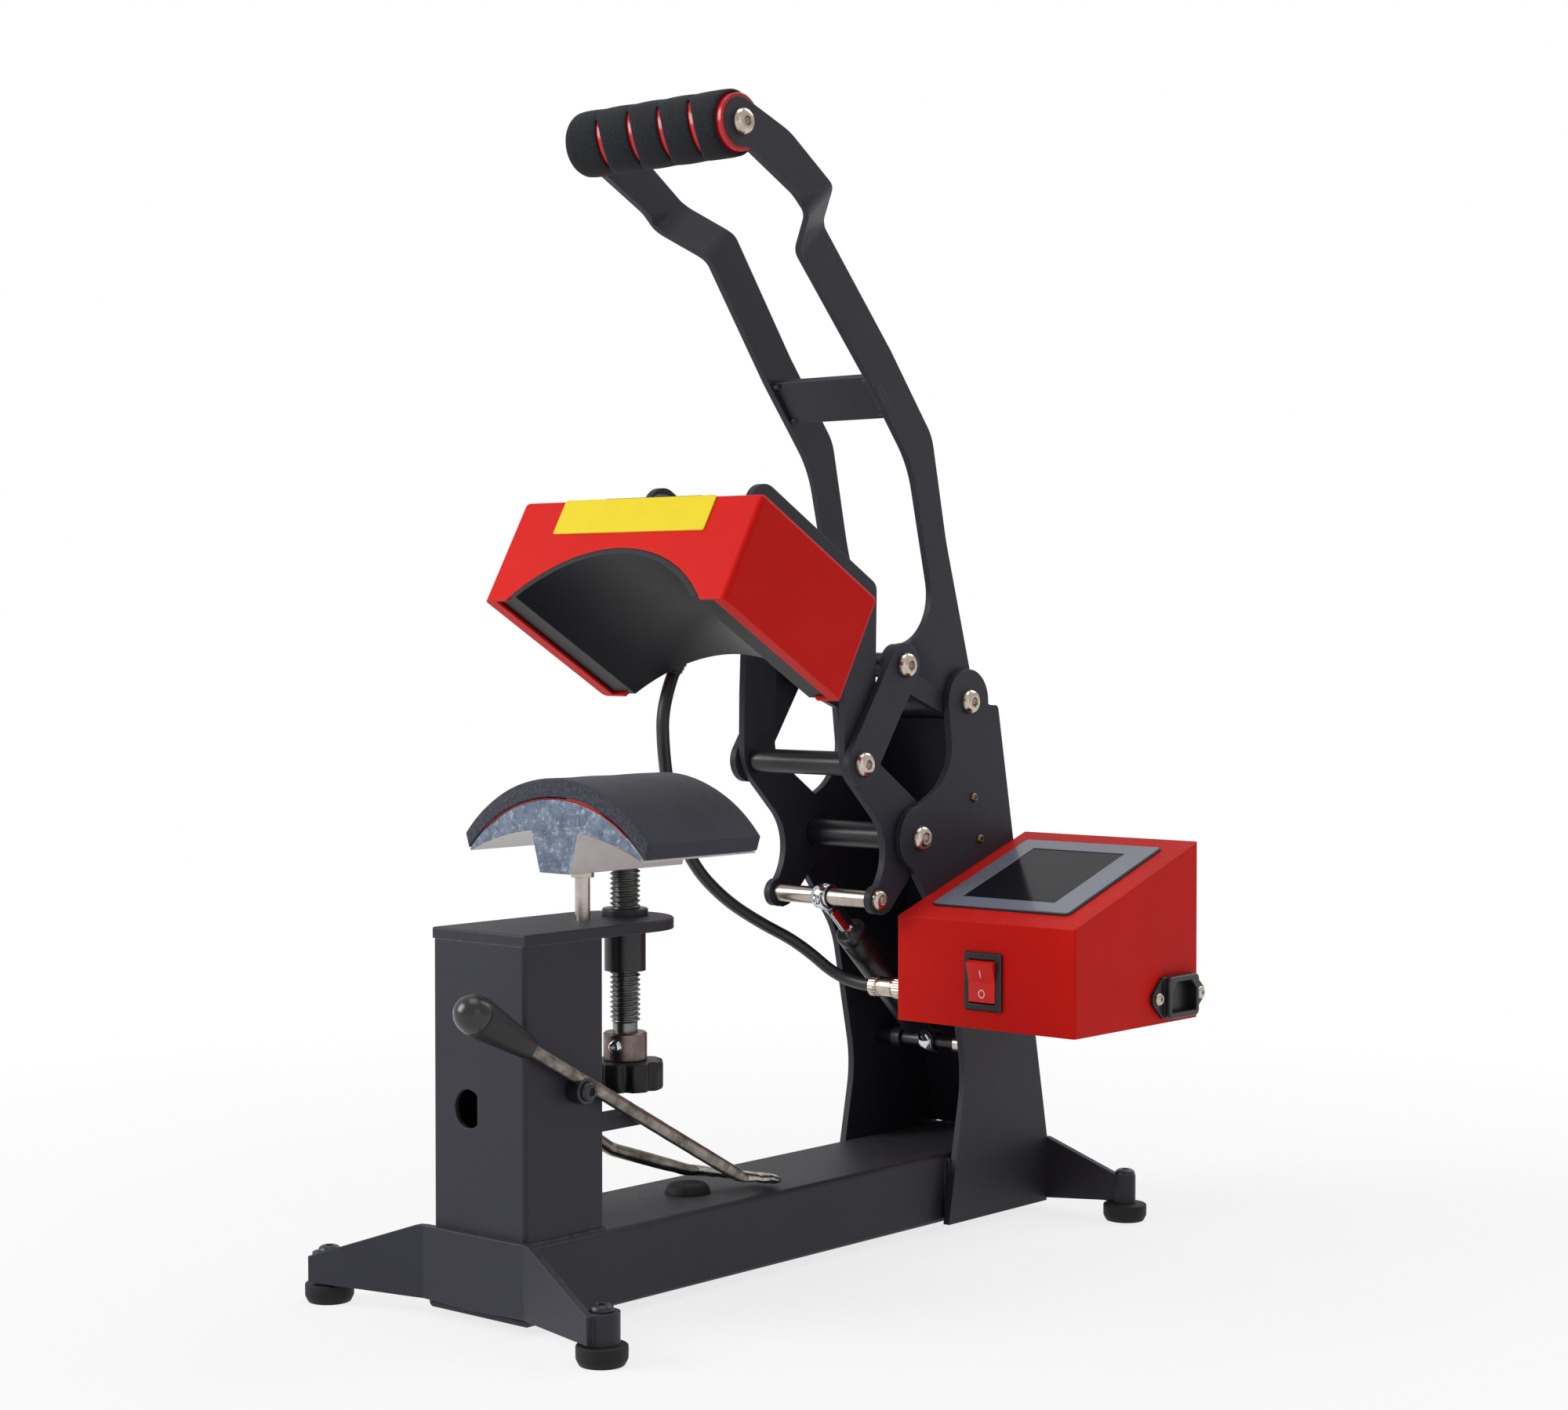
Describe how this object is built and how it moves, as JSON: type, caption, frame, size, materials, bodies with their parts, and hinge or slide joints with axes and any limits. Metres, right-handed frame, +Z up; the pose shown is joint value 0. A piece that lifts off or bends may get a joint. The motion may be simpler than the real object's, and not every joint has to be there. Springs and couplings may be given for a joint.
{
  "type": "cap heat press",
  "caption": "Benchtop press that closes a heated curved platen onto a padded cap former by a toggle handle, with a side control box and a screw pressure adjuster.",
  "frame": {"origin": "on the bench, on the press's middle plane, half way between the front and rear feet", "axes": "+Z up, the front and the lower platen towards -Y, the control box on the operator's right at +X"},
  "size_m": [0.2699, 0.4697, 0.6034],
  "materials": {
    "black_powder_coat": "satin powder coat",
    "red_powder_coat": "semi-gloss powder coat",
    "black_steel": "black oxide",
    "bright_steel": "turned",
    "nickel_screw": "nickel plated",
    "weathered_chrome": "dulled chrome",
    "aluminium_casting": "machined",
    "black_ptfe": "PTFE coated",
    "grey_silicone": "matte sponge",
    "red_silicone": "matte",
    "black_rubber": "matte",
    "black_foam": "fine grained foam",
    "black_plastic": "moulded",
    "red_plastic": "moulded",
    "grey_bezel": "satin",
    "dark_screen": "glossy",
    "yellow_label": "laminated, left blank",
    "brass_pin": "polished"
  },
  "bodies": {
    "frame": {"base_beam": "black_powder_coat", "front_foot_bracket": "black_powder_coat", "rear_foot_bracket": "black_powder_coat", "rubber_feet": "black_rubber", "foot_bolts": "nickel_screw", "hoop_bumper": "black_rubber", "front_post": "black_powder_coat", "post_top_plate": "black_powder_coat", "threaded_bush": "black_steel", "bail_bolts": "nickel_screw", "tower_plate_left": "black_powder_coat", "tower_plate_right": "black_powder_coat", "tower_rear_cover": "black_powder_coat", "tower_cross_tubes": "black_steel", "tower_pivot_screws": "nickel_screw", "tower_small_screws": "brass_pin", "box_shell": "red_powder_coat", "box_floor": "red_powder_coat", "display_bezel": "grey_bezel", "display_screen": "dark_screen", "switch_housing": "black_plastic", "inlet_body": "black_plastic", "inlet_pins": "brass_pin", "inlet_screws": "nickel_screw", "head_connector": "nickel_screw", "head_cable": "black_rubber"},
    "arm": {"arm_plate_left": "black_powder_coat", "arm_plate_right": "black_powder_coat", "arm_cross_rod": "black_steel", "spring_eye_rod": "bright_steel", "eye_rod_screws": "nickel_screw", "head_carrier": "black_powder_coat", "head_bolts": "nickel_screw", "head_cover": "red_powder_coat", "heating_platen": "black_ptfe", "heater_mat": "red_silicone", "label_panel": "yellow_label", "cable_gland": "black_plastic"},
    "handle": {"handle_arm_left": "black_powder_coat", "handle_arm_right": "black_powder_coat", "handle_brace": "black_powder_coat", "grip_tube": "red_powder_coat", "grip_foam": "black_foam", "grip_screws": "nickel_screw", "link_pivot_tube": "black_steel", "link_pivot_screws": "nickel_screw"},
    "links": {"side_links": "black_powder_coat", "link_end_screws": "nickel_screw"},
    "spring_body": {"spring_cylinder": "black_steel"},
    "spring_plunger": {"spring_rod": "bright_steel"},
    "platen": {"platen_saddle": "aluminium_casting", "silicone_strip": "red_silicone", "platen_pad": "grey_silicone", "guide_rod": "bright_steel"},
    "screw": {"pressure_screw": "bright_steel", "screw_collar": "black_steel", "adjuster_knob": "black_plastic"},
    "bail": {"bail_rod": "weathered_chrome", "bail_grip": "black_plastic"},
    "rocker": {"switch_rocker": "red_plastic"}
  },
  "joints": [
    {"name": "arm_swing", "type": "hinge", "parent": "frame", "child": "arm", "pos_m": [0, 0.0905, 0.2206], "axis": [1, 0, 0], "range_deg": [0, 27.8], "deforming": ["head_cable"]},
    {"name": "handle_swing", "type": "hinge", "parent": "frame", "child": "handle", "pos_m": [0, 0.1338, 0.2941], "axis": [1, 0, 0], "range_deg": [0, 39.1]},
    {"name": "link_swing", "type": "hinge", "parent": "handle", "child": "links", "pos_m": [0, 0.0773, 0.315], "axis": [1, 0, 0], "range_deg": [-55.6, 0]},
    {"name": "spring_tilt", "type": "hinge", "parent": "frame", "child": "spring_body", "pos_m": [0, 0.1546, 0.0989], "axis": [1, 0, 0], "range_deg": [-2.6, 0]},
    {"name": "spring_stroke", "type": "slide", "parent": "spring_body", "child": "spring_plunger", "axis": [0, -0.7267, 0.6869], "range_m": [-0.0209, 0]},
    {"name": "platen_lift", "type": "slide", "parent": "frame", "child": "platen", "axis": [0, 0, 1], "range_m": [-0.012, 0]},
    {"name": "screw_spin", "type": "hinge", "parent": "platen", "child": "screw", "pos_m": [0, -0.0972, 0.18], "axis": [0, 0, 1], "range_deg": [-1730, 0]},
    {"name": "bail_swing", "type": "hinge", "parent": "frame", "child": "bail", "pos_m": [0, -0.1655, 0.1135], "axis": [1, 0, 0], "range_deg": [0, 50]},
    {"name": "power_rocker", "type": "hinge", "parent": "frame", "child": "rocker", "pos_m": [0.1002, 0.0725, 0.1488], "axis": [1, 0, 0], "range_deg": [-14, 0]}
  ],
  "couplings": [
    {"joint": "handle_swing", "follows": "arm_swing", "ratio": 1.4047},
    {"joint": "link_swing", "follows": "arm_swing", "ratio": -1.9957},
    {"joint": "spring_tilt", "follows": "arm_swing", "ratio": -0.09128},
    {"joint": "spring_stroke", "follows": "arm_swing", "m_per_rad": -0.042593},
    {"joint": "screw_spin", "follows": "platen_lift", "rad_per_m": 2513.3}
  ]
}
